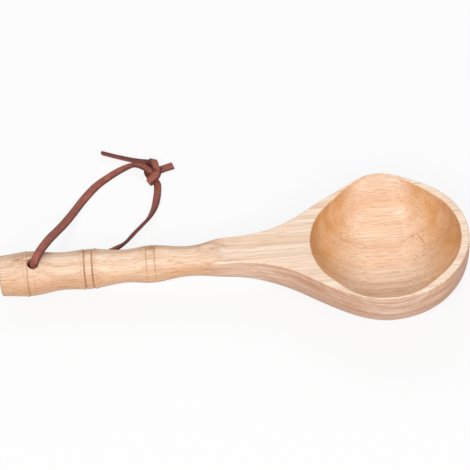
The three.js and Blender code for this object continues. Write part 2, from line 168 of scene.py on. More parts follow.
def curve_through(points, knots):
    """Centripetal Catmull-Rom: a cubic between each two points, whose end slopes come from the
    neighbours, weighted by the square roots of the distances. knots counts points from the first."""
    padded = np.vstack([2 * points[0] - points[1], points, 2 * points[-1] - points[-2]])
    first = np.clip(np.floor(knots).astype(int), 0, len(points) - 2)
    share = (knots - first)[:, None]
    p0, p1, p2, p3 = (padded[first + shift] for shift in range(4))
    pairs = ((p0, p1), (p1, p2), (p2, p3))
    d0, d1, d2 = (np.sqrt(np.linalg.norm(b - a, axis=1))[:, None] for a, b in pairs)
    d1 = np.where(d1 < COINCIDENT, 1, d1)
    d0, d2 = np.where(d0 < COINCIDENT, d1, d0), np.where(d2 < COINCIDENT, d1, d2)
    leave = ((p1 - p0) / d0 - (p2 - p0) / (d0 + d1) + (p2 - p1) / d1) * d1
    arrive = ((p2 - p1) / d1 - (p3 - p1) / (d1 + d2) + (p3 - p2) / d2) * d1
    cubic = 2 * (p1 - p2) + leave + arrive
    square = 3 * (p2 - p1) - 2 * leave - arrive
    return ((cubic * share + square) * share + leave) * share + p1


def strap_frames(route, start, end, step):
    """Even steps along a route, each with its place, its direction across the strap and the way it
    faces: across is facing x along, and facing is made square to both again."""
    fine = np.linspace(start, end, FINE_STEPS)
    places = route[:, :3]
    line = curve_through(places, fine)
    walked = np.append(0, np.cumsum(np.linalg.norm(np.diff(line, axis=0), axis=1)))
    count = int(np.ceil(walked[-1] / step)) + 1
    knots = np.interp(np.linspace(0, walked[-1], count), walked, fine)
    centre = curve_through(places, knots) * MM + HOLE
    along = unit(curve_through(places, knots + NUDGE) - curve_through(places, knots - NUDGE))
    across = unit(np.cross(curve_through(route[:, 3:], knots), along))
    return centre, across, np.cross(along, across), np.linspace(0, walked[-1], count) * MM, knots


front_length = strap_frames(FRONT_ROUTE, 0, len(FRONT_ROUTE) - 1, 1)[3][-1]
print("front route is", round(front_length / MM, 1), "mm long")

# %% [markdown]
# ## The strap's section
# The strip was cut from a hide. It has two flat sides, square cut edges and corners that handling
# has rounded, so its section is a rectangle with quarter circles at the corners, drawn as one
# closed ring. Real lace is never quite even, so the ring grows and shrinks a little along the
# route, by a sum of slow waves.

# %% Section and strap surface
CORNER, ROW_STEP = 0.42 * MM, 0.5
WAVE_LENGTHS, WAVE_SHARES = np.array([37, 15.3, 6.1]) * MM, np.array([0.5, 0.3, 0.2])
WIDTH_PLAY, THICKNESS_PLAY = 0.025, 0.03
FRONT_CUT = np.array([(0, 1.03), (2, 1.1), (4, 1.08), (11, 1.08), (13, 1.0), (30, 0.97)])
BACK_CUT = np.array([(0, 0.96), (38, 0.96)])


def strap_ring(corner_points=5, flat_points=7):
    """Rounded rectangle: four quarter circles, joined by straight sides, anticlockwise from the right."""
    inner = np.array([STRAP_WIDTH / 2 - CORNER, STRAP_THICKNESS / 2 - CORNER])
    turn = np.linspace(0, np.pi / 2, corner_points)
    arc = CORNER * np.column_stack([np.cos(turn), np.sin(turn)])
    along_top = np.linspace(1, -1, flat_points + 2)[1:-1] * inner[0]
    top = np.column_stack([along_top, np.full(flat_points, STRAP_THICKNESS / 2)])
    half = np.vstack([inner + arc, top, inner * (-1, 1) + arc[::-1] * (-1, 1)])
    return np.vstack([half, -half])


def uneven(walked, phase):
    """Slow unevenness along the strip: three sine waves of about 37, 15 and 6 mm."""
    waves = 2 * np.pi * walked[:, None] / WAVE_LENGTHS + phase * np.array([1, 2.3, 4.1])
    return np.sin(waves) @ WAVE_SHARES


def strap_surface(route, start, end):
    """The section carried along the route: place + across * ring x + facing * ring y, kept off the table."""
    centre, across, facing, walked, knots = strap_frames(route, start, end, ROW_STEP)
    ring = strap_ring()
    cut = np.interp(knots, *(FRONT_CUT if route is FRONT_ROUTE else BACK_CUT).T)
    wide = (cut + WIDTH_PLAY * uneven(walked, 1.0))[:, None]
    thick = 1 + THICKNESS_PLAY * uneven(walked, 2.7)[:, None]
    x, y = ring[:, 0] * wide, ring[:, 1] * thick
    points = centre[:, None] + across[:, None] * x[..., None] + facing[:, None] * y[..., None]
    points[..., 2] = np.maximum(points[..., 2], 0)
    return points


print("section has", len(strap_ring()), "points")

# %% [markdown]
# ## From grid to mesh
# Every piece in this lesson is a grid of points, so a few helpers turn grids into meshes. They join
# neighbouring rows into quads by index arithmetic on whole arrays, close the ends of a tube and
# hand the arrays to Blender. Points that coincide, at a pole or where two halves meet, are merged,
# which closes every seam.

# %% Grid helper
import bmesh

SHARP_ANGLE = np.radians(50)


def grid_quads(rows, columns, wrap):
    """Indices of the quads between neighbouring rows and columns. If wrap, the last column joins the first."""
    index = np.arange(rows * columns).reshape(rows, columns)
    right = np.roll(index, -1, axis=1) if wrap else index[:, 1:]
    left = index if wrap else index[:, :-1]
    return np.stack([left[:-1], right[:-1], right[1:], left[1:]], axis=-1).reshape(-1, 4)


def tube_faces(rows, columns, start=0):
    """Quads of a tube whose points are counted from a start, with a flat face at each end."""
    first = np.arange(start, start + columns)
    last = first + (rows - 1) * columns
    return (grid_quads(rows, columns, True) + start).tolist() + [first[::-1].tolist(), last.tolist()]


def make_piece(name, points, faces, merge=1e-7):
    """A smooth-shaded object at the origin from points and faces, with coincident points merged."""
    mesh = bpy.data.meshes.new(name)
    mesh.from_pydata(points.reshape(-1, 3).tolist(), [], faces)
    work = bmesh.new()
    work.from_mesh(mesh)
    bmesh.ops.remove_doubles(work, verts=work.verts, dist=merge)
    work.to_mesh(mesh)
    work.free()
    mesh.shade_smooth()
    mesh.set_sharp_from_angle(angle=SHARP_ANGLE)
    return add_to_scene(name, mesh)


def vectors_of(mesh, what="co"):
    """The places, or else the normals, of all vertices of a mesh as one array."""
    flat = np.empty(len(mesh.vertices) * 3, np.float32)
    mesh.vertices.foreach_get(what, flat)
    return flat.reshape(-1, 3).astype(float)


def set_attribute(mesh, name, values):
    """A named number on every vertex, for a material to read."""
    mesh.attributes.new(name, "FLOAT", "POINT").data.foreach_set("value", np.asarray(values, np.float32))


print("helpers ready")

# %% [markdown]
# ## The strands
# The strands, the knot and the tails are separate pieces, because they do different things on the
# real loop. The cuts between them lie in the hole and under the turns of the knot, where nothing
# shows. Every vertex keeps two numbers for the leather: how near it is to a cut edge, and whether
# it is on the flesh side. Places on a route are counted in its points.

# %% Strands, knot and tails
IN_KNOT_FRONT, OUT_OF_KNOT_FRONT = 19, 25
IN_KNOT_BACK, OUT_OF_KNOT_BACK = 19, 35.4
FRONT_STRETCH, BACK_STRETCH = (FRONT_ROUTE, 0, IN_KNOT_FRONT), (BACK_ROUTE, 0, IN_KNOT_BACK)
TAIL_STRETCH = (FRONT_ROUTE, OUT_OF_KNOT_FRONT, len(FRONT_ROUTE) - 1)


def make_strap(name, *stretches):
    """A piece that rides on the loop: one or more stretches of strap, closed by flat ends. Its masks are
    the distance from the middle over half the width, and 0 to 1 through the strap to its flesh side."""
    points, faces, rows, ring = [], [], 0, strap_ring()
    for stretch in stretches:
        surface = strap_surface(*stretch)
        faces += tube_faces(*surface.shape[:2], rows * len(ring))
        points.append(surface.reshape(-1, 3))
        rows += len(surface)
    piece = make_piece(name, np.vstack(points), faces, merge=1e-9)
    set_attribute(piece.data, "near_cut_edge", np.tile(np.abs(ring[:, 0]) / (STRAP_WIDTH / 2), rows))
    set_attribute(piece.data, "flesh_side", np.tile(0.5 - ring[:, 1] / STRAP_THICKNESS, rows))
    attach(piece, "loop")
    return piece


front_strand = make_strap("front_strand", FRONT_STRETCH)
back_strand = make_strap("back_strand", BACK_STRETCH)
knot = make_strap(
    "knot", (FRONT_ROUTE, IN_KNOT_FRONT, OUT_OF_KNOT_FRONT), (BACK_ROUTE, IN_KNOT_BACK, OUT_OF_KNOT_BACK)
)
long_tail = make_strap("long_tail", TAIL_STRETCH)
short_tail = make_strap("short_tail", (TAIL_ROUTE, 0, len(TAIL_ROUTE) - 1))
thong = [front_strand, back_strand, knot, long_tail, short_tail]
print("thong vertices", sum(len(piece.data.vertices) for piece in thong))

# %% [markdown]
# ## Measuring the cords
# The strands and the long tail are free cords of a real length, which is measured along their centre
# lines. The solid nodes that the strap pieces stand for are hidden, so that the plain solids disappear
# from the picture.


def declare(stretch):
    """The length of a strap along its centre line, in millimetres."""
    centre, _, _, walked, _ = strap_frames(*stretch, ROW_STEP)
    return round(float(walked[-1]) / MM, 1)


lengths = [
    declare(FRONT_STRETCH),
    declare(BACK_STRETCH),
    declare(TAIL_STRETCH),
]
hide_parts("thong_in_hole", "thong_front_strand")
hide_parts("thong_under_handle", "thong_back_strand")
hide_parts("thong_knot")
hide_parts("thong_long_tail")
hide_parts("thong_short_tail")
print("front strand, back strand, long tail in mm:", lengths)

# %% [markdown]
# ## The spoon's outline
# The spoon is carved from one billet. Seen from above it has a straight handle with three
# bamboo-like nodes, a neck that flares, and a round bowl. We describe it in its own frame, with
# the middle of the rim at the origin and the handle along minus x, by two curves along x: half
# the width, and the height of the underside. Hermite curves pass through a few stations, the waists
# and nodes, with a given slope at each.

# %% Width and underside along the spoon
BOWL_RADIUS, BOWL_DEPTH, RIM_BAND, HANDLE_DROP = 50.0, 37.5, 5.1, 7.0
HANDLE_END, LAST_WAIST, BOWL_FULLNESS = -230.0, -118.0, 2.55
WIDTH_STATIONS = np.array([
    (HANDLE_END, 12.1, 0), (-212.5, 13.4, 0), (-192, 11.2, 0), (-176.5, 11.9, 0), (-155, 9.9, 0),
    (-139.5, 11.2, 0), (LAST_WAIST, 9.0, 0), (-95, 10.6, 0), (-50, 24.2, 0.754), (0, BOWL_RADIUS, 0),
])
UNDER_STATIONS = np.array([
    (LAST_WAIST, -16.0, 0), (-95, -17.5, -0.12), (-50, -30.5, -0.24), (0, -BOWL_DEPTH, 0),
])
CUT_LINES = np.array([  # place, depth, brownness, how steady it is round the handle, where it is darkest
    (-212.5, 0.3, 0.6, 0.1, -110), (-208.6, 0.1, 0.25, 0.0, -100), (-178.8, 0.45, 0.75, 0.7, -80),
    (-174.2, 0.45, 0.75, 0.7, -60), (-142, 0.25, 0.4, 0.2, -10), (-137, 0.25, 0.4, 0.2, -10),
])
CUT_WIDTH, CUT_BELL = 0.5, 2.2
RIDGES = np.array([  # place, height, half the width
    (-213.8, 0.3, 1.0), (-180.2, 0.3, 1.0), (-172.8, 0.35, 1.0), (-143.2, 0.15, 1.0), (-135.9, 0.15, 1.0),
])


def smooth(t):
    """0 below 0, 1 above 1, and a soft step between: 3 t^2 - 2 t^3."""
    t = np.clip(t, 0, 1)
    return t * t * (3 - 2 * t)


def hermite(stations, x):
    """Cubic between neighbouring stations that has their heights and their slopes."""
    first = np.clip(np.searchsorted(stations[:, 0], x, side="right") - 1, 0, len(stations) - 2)
    (x0, v0, s0), (x1, v1, s1) = stations[first].T, stations[first + 1].T
    run = x1 - x0
    t = np.clip((x - x0) / run, 0, 1)
    return (v0 * (1 + 2 * t) + s0 * run * t) * (1 - t) ** 2 + (v1 * (3 - 2 * t) - s1 * run * (1 - t)) * t**2


def cut_depth(x):
    """Depth of the lines cut round the nodes: a narrow bell curve at each, less a low ridge beside it."""
    away = (x[..., None] - CUT_LINES[:, 0]) / CUT_WIDTH
    beside = (x[..., None] - RIDGES[:, 0]) / RIDGES[:, 2]
    cut = (np.exp(-(away**2) * CUT_BELL) * CUT_LINES[:, 1]).sum(-1)
    return cut - (np.exp(-(beside**2)) * RIDGES[:, 1]).sum(-1)


def half_width(x):
    """Half the width at x: the stations' curve up to the middle of the bowl, then a circle, less the cuts."""
    bowl = np.sqrt(np.maximum(0, BOWL_RADIUS**2 - np.maximum(x, 0) ** 2))
    return np.where(x > 0, bowl, hermite(WIDTH_STATIONS, x)) - cut_depth(x)


def underside(x):
    """Height of the keel at x: a round handle, the stations' curve along the neck, a superellipse to the tip."""
    sweep = np.maximum(0, 1 - np.abs(x / BOWL_RADIUS) ** BOWL_FULLNESS) ** (1 / BOWL_FULLNESS)
    tip = -RIM_BAND - (BOWL_DEPTH - RIM_BAND) * sweep
    neck = np.where(x > 0, tip, hermite(UNDER_STATIONS, x))
    return np.where(x < LAST_WAIST, -HANDLE_DROP - half_width(x), neck)


print("least half width", half_width(np.linspace(-225, -60, 500)).min().round(2), "mm")

# %% [markdown]
# ## Rings from rim to keel
# A surface can be a stack of rings. Round the bowl each ring starts on the edge of the hollow,
# crosses the flat rim, turns over the outer edge, drops down the upright band and sweeps under to
# the keel. Along the neck and handle it starts on the middle of the top instead. We work out one
# side and mirror it. On each side of the rim a pouring lip rises and stands out by a cosine bump,
# and the edge of the hollow runs out to it.

# %% Lips and the edge of the hollow
CAVITY_RADIUS, CAVITY_DEPTH, CAVITY_SHIFT = 44.6, 31.0, 0.45
LIP_REACH, LIP_RISE, LIP_DEPTH = 1.4, 2.5, 16.0
LIP_MIDDLE, LIP_HALF = np.radians(93.5), np.radians(32)
CHANNEL_RUN, CHANNEL_MORE, CHANNEL_DEPTH = 4.8, 1.0, 13.0
CHANNEL_FLOOR, TIP_SIDE, NECK_SIDE, CHANNEL_SPREAD = np.radians([4, 44, 39, 75])
INNER_ROUND, INNER_LESS, RIM_STATIONS = 0.7, 0.35, 201


def from_lip(angle):
    """Angle round the rim from the middle of the nearer lip."""
    return np.abs(np.abs(angle) - LIP_MIDDLE)


def lip_share(angle):
    """1 in the middle of a lip and 0 past its ends: half a cosine wave round the rim."""
    return 0.5 + 0.5 * np.cos(np.pi * np.clip(from_lip(angle) / LIP_HALF, 0, 1))


def channel(angle, below):
    """How far the hollow runs out under a lip: full over a flat floor with soft sides, wider towards the
    tip. The sides spread with depth, and the run fades with the square of the depth that is left."""
    left = np.clip(1 - below / CHANNEL_DEPTH, 0, 1)
    side = np.where(np.abs(angle) < LIP_MIDDLE, TIP_SIDE, NECK_SIDE) * left + CHANNEL_SPREAD * (1 - left)
    share = 1 - smooth((from_lip(angle) - CHANNEL_FLOOR * left) / side)
    return (CHANNEL_RUN + CHANNEL_MORE * lip_share(angle)) * share * left**2


angles = np.linspace(np.pi, 0, RIM_STATIONS)
lips = lip_share(angles)
inner_round = INNER_ROUND - INNER_LESS * lips
inner_radius = CAVITY_RADIUS + channel(angles, 0 * angles) + inner_round
print("edge of the hollow", inner_radius.min().round(2), "to", inner_radius.max().round(2), "mm from its middle")

# %% [markdown]
# The rings sit close together where the shape turns quickly, at the cut lines and at the rounded
# end of the handle. The first few shrink to a point on the end of the handle, which closes it with
# a flat face and a softly broken edge.

# %% Stations of the rings
CUT_SPAN, CLEAR_OF_CUT, CUT_STATIONS = 2.2, 2.3, 21
HANDLE_FROM, HANDLE_TO, HANDLE_STEP, NECK_TO, NECK_STATIONS = -228.1, -120, 0.9, -52, 76
NECK_SHIFT, SHIFT_FROM, SHIFT_RUN = 4, -80, 30
END_ROUND, END_FACE, END_STATIONS = 0.6, HANDLE_END + 0.7, 6
fine_cuts = (CUT_LINES[:, :1] + np.linspace(-CUT_SPAN, CUT_SPAN, CUT_STATIONS)).ravel()
along_neck = np.linspace(HANDLE_TO, NECK_TO, NECK_STATIONS)
coarse = np.hstack([np.arange(HANDLE_FROM, HANDLE_TO, HANDLE_STEP), along_neck])
coarse = coarse[np.abs(coarse[:, None] - CUT_LINES[:, 0]).min(1) > CLEAR_OF_CUT]
handle_x = np.unique(np.hstack([coarse, fine_cuts]))
end_turn = np.linspace(0, np.pi / 2, END_STATIONS)
end_x = END_FACE + END_ROUND * (1 - np.cos(end_turn))
end_scale = 1 - END_ROUND / WIDTH_STATIONS[0, 1] * (1 - np.sin(end_turn))
flat_scale = np.array([0, 0.12, 0.25, 0.4, 0.55, 0.7, 0.82, 0.9])
outer_x = np.hstack([np.full(len(flat_scale), END_FACE), end_x, handle_x, BOWL_RADIUS * np.cos(angles)])
ring_scale = np.hstack([flat_scale, end_scale, np.ones(len(handle_x) + len(angles))])
neck_shift = NECK_SHIFT * smooth((handle_x - SHIFT_FROM) / SHIFT_RUN)
before = np.hstack([outer_x[: len(flat_scale) + len(end_x)], handle_x + neck_shift])
inner_x = np.hstack([before, CAVITY_SHIFT + inner_radius * np.cos(angles)])
inner_y = np.hstack([np.zeros(len(before)), inner_radius * np.sin(angles)])
ring_lip = np.hstack([np.zeros(len(before)), lips])
print("rings", len(outer_x))

# %% [markdown]
# One function gives the whole outer skin, over the stations along the spoon and the way round each
# ring. The handle is round and the neck is flat on top, and the change is a single number,
# flatness, that widens or narrows the rounded corner of the ring.

# %% Outer skin
BAND_STEPS, EDGE_STEPS, WALL_STEPS, KEEL_STEPS = 9, 17, 6, 26
FLAT_FROM, FLAT_RUN, BAND_RUN = -113, 21, 63
OUTER_ROUND, OUTER_LESS, ROUND_FULLNESS, BOWL_FULLER = 0.8, 0.4, 2, 0.55
MIRROR = (1, -1, 1)


def spread(steps):
    """Even shares from just after 0 to 1."""
    return np.linspace(0, 1, steps + 1)[1:]


def outer_skin():
    """Half rings: a straight band from the inner to the outer rim point, a quarter ellipse over the
    edge, an upright, then a quarter superellipse down to the keel. The lip's reach is added in
    proportion to y and fades with depth."""
    x, width, lip = outer_x[:, None], half_width(outer_x)[:, None], ring_lip[:, None]
    flatness = smooth((x - FLAT_FROM) / FLAT_RUN)
    middle = -HANDLE_DROP + (HANDLE_DROP - RIM_BAND) * smooth((x - FLAT_FROM) / BAND_RUN)
    top = (1 - flatness) * (width - HANDLE_DROP) + LIP_RISE * lip
    edge = OUTER_ROUND - OUTER_LESS * lip
    edge_width = np.minimum(width + LIP_REACH * lip, width + (edge - width) * flatness)
    edge_height = (top - middle) + (edge - (top - middle)) * flatness
    rim = np.stack([x, width + LIP_REACH * lip], -1)
    start = np.stack([inner_x, inner_y], -1)[:, None]
    run = rim - start
    reach = np.maximum(np.linalg.norm(run, axis=-1, keepdims=True), 1e-9)
    turn_over = rim - run / reach * np.minimum(edge_width[..., None], reach)
    share = np.append(0, spread(BAND_STEPS))[None, :, None]
    band = start + (turn_over - start) * share
    band = np.concatenate([band, np.broadcast_to(top[..., None], band.shape[:2] + (1,))], -1)
    turn = np.pi / 2 * (1 - spread(EDGE_STEPS))[None]
    over = turn_over + (rim - turn_over) * np.cos(turn)[..., None]
    over = np.concatenate([over, (top - edge_height * (1 - np.sin(turn)))[..., None]], -1)
    down = spread(WALL_STEPS)[None]
    wall_z = (top - edge_height) + (middle - top + edge_height) * down
    fullness = ROUND_FULLNESS + BOWL_FULLER * flatness
    sweep = np.pi / 2 * spread(KEEL_STEPS)[None]
    keel_z = middle + (underside(outer_x)[:, None] - middle) * np.sin(sweep) ** (2 / fullness)
    keel_y = width * np.maximum(np.cos(sweep), 0) ** (2 / fullness)
    low_y = np.hstack([np.broadcast_to(width, wall_z.shape), keel_y])
    low_z = np.hstack([wall_z, keel_z])
    fade = smooth(1 - (top - low_z) / LIP_DEPTH)
    low_y = low_y * (1 + LIP_REACH * lip * fade / np.maximum(width, 1e-6))
    low = np.stack([np.broadcast_to(x, low_y.shape), low_y, low_z], -1)
    skin = np.hstack([band, over, low])
    axis = np.stack([outer_x, 0 * outer_x, 0 * outer_x - HANDLE_DROP], -1)[:, None]
    return axis + (skin - axis) * ring_scale[:, None, None]


near_half = outer_skin() * MIRROR
print("outer skin", near_half.shape)

# %% [markdown]
# ## The hollow
# The bowl was hollowed with a gouge and sanded, so its wall is a smooth sweep that is steep under
# the rim and nearly flat at the bottom. It is a surface of revolution with a superellipse for its
# profile, its middle a little nearer to the tip than the bowl's and a top edge that runs out to the
# two lips. Its first rings round the inner edge and start on the very points where the outer skin
# begins, so the two skins close into one.

# %% Inner skin
ROUND_STEPS, WALL_RINGS = 5, 46
HOLLOW_FULLNESS, CHANNEL_CLOSE = 2.35, 0.2


def hollow_skin():
    """Polar grid: a quarter circle over the inner edge, then r = R sin(t)^(2/n), z = -D cos(t)^(2/n),
    with the lip's channel added near the top."""
    edge = LIP_RISE * lips[:, None]
    curl = np.linspace(0, np.pi / 2, ROUND_STEPS)[None]
    radius, small = inner_radius[:, None], inner_round[:, None]
    round_r = radius - small * np.sin(curl)
    round_z = edge - small * (1 - np.cos(curl))
    first = np.arccos((small / CAVITY_DEPTH) ** (HOLLOW_FULLNESS / 2))
    turn = first * (1 - spread(WALL_RINGS)[None])
    power = 2 / HOLLOW_FULLNESS
    wall_z = edge * np.sin(turn) - CAVITY_DEPTH * np.cos(turn) ** power
    run_out = channel(angles[:, None], edge - wall_z) * np.sin(turn) ** CHANNEL_CLOSE
    wall_r = CAVITY_RADIUS * np.sin(turn) ** power + run_out
    r, z = np.hstack([round_r, wall_r]), np.hstack([round_z, wall_z])
    return np.stack([CAVITY_SHIFT + r * np.cos(angles)[:, None], r * np.sin(angles)[:, None], z], -1)


near_hollow = hollow_skin() * MIRROR
print("hollow", near_hollow.shape, "deepest", near_hollow[..., 2].min().round(2), "mm")

# %% [markdown]
# ## Laying the spoon down
# The record says where the end of the handle is and which way it faces. That lays the carved shape
# down where the solid lies, by a turn about y and a shift. The underside of the bowl is then sanded
# level where it would dip below the table.

# %% Place of the spoon
end_mount = next(m for m in frame["record"]["mounts"] if m["name"] == "handle_end")
TILT = float(np.arcsin(-end_mount["axis"][2]))
TURN_DOWN = np.array([[np.cos(TILT), 0, -np.sin(TILT)], [0, 1, 0], [np.sin(TILT), 0, np.cos(TILT)]])
SHIFT = np.array(end_mount["pos_m"]) - TURN_DOWN @ np.array([HANDLE_END, 0, -HANDLE_DROP]) * MM


def lay_down(points):
    """Spoon's own frame in millimetres to the row frame in metres, with nothing below the table."""
    laid = points.reshape(-1, 3) @ TURN_DOWN.T * MM + SHIFT
    laid[:, 2] = np.maximum(laid[:, 2], 0)
    return laid


def stand_up(points):
    """Row frame in metres back to the spoon's own frame in millimetres."""
    return (points - SHIFT) @ TURN_DOWN / MM


print("tilt", round(np.degrees(TILT), 3), "degrees, middle of the rim at", (SHIFT / MM).round(2), "mm")

# %% Wooden body
WELD = 4e-6
halves = [(near_half, False), (near_half * MIRROR, True), (near_hollow, True), (near_hollow * MIRROR, False)]
body_points, body_faces, placed = [], [], 0
for half, flipped in halves:
    quads = grid_quads(*half.shape[:2], False) + placed
    body_faces += (quads[:, ::-1] if flipped else quads).tolist()
    body_points.append(lay_down(half))
    placed += half.shape[0] * half.shape[1]
spoon = make_piece("carved_spoon", np.vstack(body_points), body_faces, merge=WELD)
solid_low, solid_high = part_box("spoon_body")
carved = vectors_of(spoon.data)
low_gap, high_gap = (carved.min(0) - solid_low) / MM, (carved.max(0) - solid_high) / MM
print("body vertices", len(carved), "box off by", low_gap.round(2), high_gap.round(2), "mm")

# %% [markdown]
# ## Drilling the hole
# The maker drilled straight down through the handle, close to its end and a little off the
# middle. A Boolean modifier does the same with a cylinder. It is applied at once, so that the
# finished mesh is what rides on the body, and the drill is thrown away.

# %% Hole
def drill_bit(radius, heights, sides=48):
    """A closed cylinder round the hole's axis: a circle at each height, with an end face on the outer two."""
    turn = np.linspace(0, 2 * np.pi, sides, endpoint=False)
    circle = np.column_stack([np.cos(turn), np.sin(turn)]) * radius + HOLE[:2]
    rings = np.stack([np.column_stack([circle, np.full(sides, height)]) for height in heights])
    return make_piece("drill", rings, tube_faces(len(heights), sides))


BORE_RADIUS = 3.5 * MM
BIT_LOW, BIT_HIGH, BIT_RINGS = -0.002, 0.032, 35
drill = drill_bit(BORE_RADIUS, np.linspace(BIT_LOW, BIT_HIGH, BIT_RINGS))
boring = spoon.modifiers.new("hole", "BOOLEAN")
boring.operation, boring.solver, boring.object = "DIFFERENCE", "EXACT", drill
bored = bpy.data.meshes.new_from_object(spoon.evaluated_get(bpy.context.evaluated_depsgraph_get()))
spoon.modifiers.clear()
spoon.data = bored
spoon.data.name = "carved_spoon"
bpy.data.objects.remove(drill)
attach(spoon, "spoon")
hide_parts("spoon_body")
print("vertices after drilling", len(spoon.data.vertices))

# %% [markdown]
# ## What the wood knows about itself, and where shade is painted
# A cut end of wood drinks more oil and turns darker and more orange, and what was cut with a hot or
# dirty blade is brown. A material can't find these places, so we measure them on the finished mesh
# and store on every vertex how much it looks along the grain or sideways, where sideways and downward
# faces get painted shade, how deep it lies in the hollow, how deep in the hole for the painted shade
# in there, how near it is to a cut or to the handle's end edge, which gets a painted shade line, and
# where the handle gets a darker tone with painted shade on its lower half.

# %% Masks for the wood
# Limit and run of each soft step:
DEEP, STEEP, SIDEWAYS = (0, 5), (0.95, 0.15), (0.6, 0.8)
HANDLE_TONE_END, LOWER_HALF, HOLE_SHADE_STEP = (-88, 25), (0.9, 0.7), (0.0275, 0.004)
INSIDE_REACH, FACES_OUT, FACES_DOWN, BORE_WALL = 52, 0.35, -0.2, 1.03
STAIN_BELL, STAIN_FOCUS, END_EDGE_SHADE = 1.6, 4, 0.4
END_FROM, END_RUN, HANDLE_TOP_SHARE, HANDLE_SIDE_LESS = 0.1, 0.7, 0.4, 0.6


def under(value, limit, run):
    """0 where a value is above its limit, and a soft step up to 1 at a run below it."""
    return smooth((limit - value) / run)


def wood_masks(mesh):
    """End grain grows with the normal's share along the handle, and a side looks level or down, which gets
    painted shade. The hollow is 0 on the flat rim and 1 on all that is steep or 5 mm deep inside. A cut
    line is a bell curve across its width, which grows faint away from its darkest side, and a line of
    painted shade lies on the rounded end of the handle. Painted shade covers the wall of the hole, darker
    from its upper mouth down. The handle has a darker tone, and painted shade on its lower half."""
    placed_points = vectors_of(mesh)
    normals = vectors_of(mesh, "normal") @ TURN_DOWN
    x, y, z = stand_up(placed_points).T
    up = normals[:, 2]
    outward = (normals[:, 0] * x + normals[:, 1] * y) / np.maximum(np.hypot(x, y), 1e-6)
    inside = (np.hypot(x, y) < INSIDE_REACH) & (outward < FACES_OUT) & (up > FACES_DOWN)
    hollow = inside * np.maximum(under(z, *DEEP), under(up, *STEEP))
    turn = np.arctan2(y, z + HANDLE_DROP)[:, None] - np.radians(CUT_LINES[:, 4])
    away = (x[:, None] - CUT_LINES[:, 0]) / CUT_WIDTH
    steady = CUT_LINES[:, 3]
    strength = steady + (1 - steady) * (0.5 + 0.5 * np.cos(turn)) ** STAIN_FOCUS
    cut = (np.exp(-(away**2) * STAIN_BELL) * CUT_LINES[:, 2] * strength).sum(1)
    # a line of painted shade on the rounded end edge of the handle
    cut += END_EDGE_SHADE * np.exp(-(((x - END_FACE) / END_ROUND) ** 2))
    in_hole = np.linalg.norm(placed_points[:, :2] - HOLE[:2], axis=1) < BORE_RADIUS * BORE_WALL
    held = under(x, *HANDLE_TONE_END)
    return {
        "end_grain": smooth((np.abs(normals[:, 0]) - END_FROM) / END_RUN) * (1 - in_hole),
        # painted shade, darker and greyer, where the outside faces level or down
        "side": (1 - inside) * (1 - in_hole) * under(up, *SIDEWAYS) * (1 - HANDLE_SIDE_LESS * held),
        "hollow": hollow,
        "cut_line_and_end_shade": np.minimum(cut, 1),
        # painted shade inside the hole, darker from its mouth down
        "painted_hole_shade": in_hole * under(placed_points[:, 2], *HOLE_SHADE_STEP),
        # a darker tone along the handle, and painted shade on its lower half
        "handle_tone_and_shade": held * (HANDLE_TOP_SHARE + (1 - HANDLE_TOP_SHARE) * under(up, *LOWER_HALF)),
    }


for name, values in wood_masks(spoon.data).items():
    set_attribute(spoon.data, name, values)
    print(name, "up to", values.max().round(2), "mean", values.mean().round(3))

# %% [markdown]
# ## Building shader trees
# A shader tree is a list of nodes and links. Small helpers place a node, set its options and fill
# its sockets: a socket that is handed over gets linked, a plain value is written in.

# %% Node helpers
def fill(tree, node, sockets):
    """Each named socket of a node is linked to a socket or given a value."""
    for key, value in sockets.items():
        if isinstance(value, bpy.types.NodeSocket):
            tree.links.new(value, node.inputs[key])
        else:
            node.inputs[key].default_value = value


def place(tree, kind, sockets, **options):
    """A node of a kind, with its sockets filled and its options set."""
    made = tree.nodes.new("ShaderNode" + kind)
    for option, value in options.items():
        setattr(made, option, value)
    fill(tree, made, sockets)
    return made


def sums(tree, operation, first, second, third=0.0):
    """The result of a Math node on two or three values or sockets."""
    return place(tree, "Math", {0: first, 1: second, 2: third}, operation=operation).outputs[0]


def times(tree, first, second, plus=0.0):
    """One value times another, plus a third."""
    return sums(tree, "MULTIPLY_ADD", first, second, plus)


def ranged(tree, value, low, high=1.0, top=1.0, **options):
    """From 0 to a top, while a value goes from low to high."""
    sockets = {"Value": value, "From Min": low, "From Max": high, "To Max": top}
    return place(tree, "MapRange", sockets, **options).outputs[0]


def stretched(tree, vector, scale, turn=(0, 0, 0), shift=(0, 0, 0)):
    """A vector that is scaled, turned and shifted by a Mapping node."""
    sockets = {"Vector": vector, "Scale": scale, "Rotation": turn, "Location": shift}
    return place(tree, "Mapping", sockets).outputs[0]


def blended(tree, colour, *layers):
    """A colour under layers, each with its share, its tint and the way it is mixed in."""
    for share, tint, how in layers:
        sockets = {"Factor": share, 6: colour, 7: tint}
        colour = place(tree, "Mix", sockets, data_type="RGBA", blend_type=how).outputs[2]
    return colour


def stored(tree, name):
    """The number that the mesh keeps under a name."""
    return place(tree, "Attribute", {}, attribute_name=name).outputs["Fac"]


def new_material(name):
    """A material with its tree and its main shader."""
    material = bpy.data.materials.new(name)
    material.use_nodes = True
    return material, material.node_tree, material.node_tree.nodes["Principled BSDF"]


def dress(tree, shader, colour, roughness, relief, strength, depth):
    """Links a colour, a roughness and a relief of some depth to a material's shader."""
    bump = place(tree, "Bump", {"Height": relief, "Strength": strength, "Distance": depth}).outputs[0]
    fill(tree, shader, {"Base Color": colour, "Roughness": roughness, "Normal": bump})


print("node helpers ready")

# %% [markdown]
# ## One group for everything that is uneven
# Growth layers, pores, the tone of a hide and its fine grain are all noise at different sizes,
# stretched along different directions. So one node group makes the unevenness for both materials:
# noise, pulled apart around its middle until it has the contrast that we ask for, and held
# between 0 and 1.

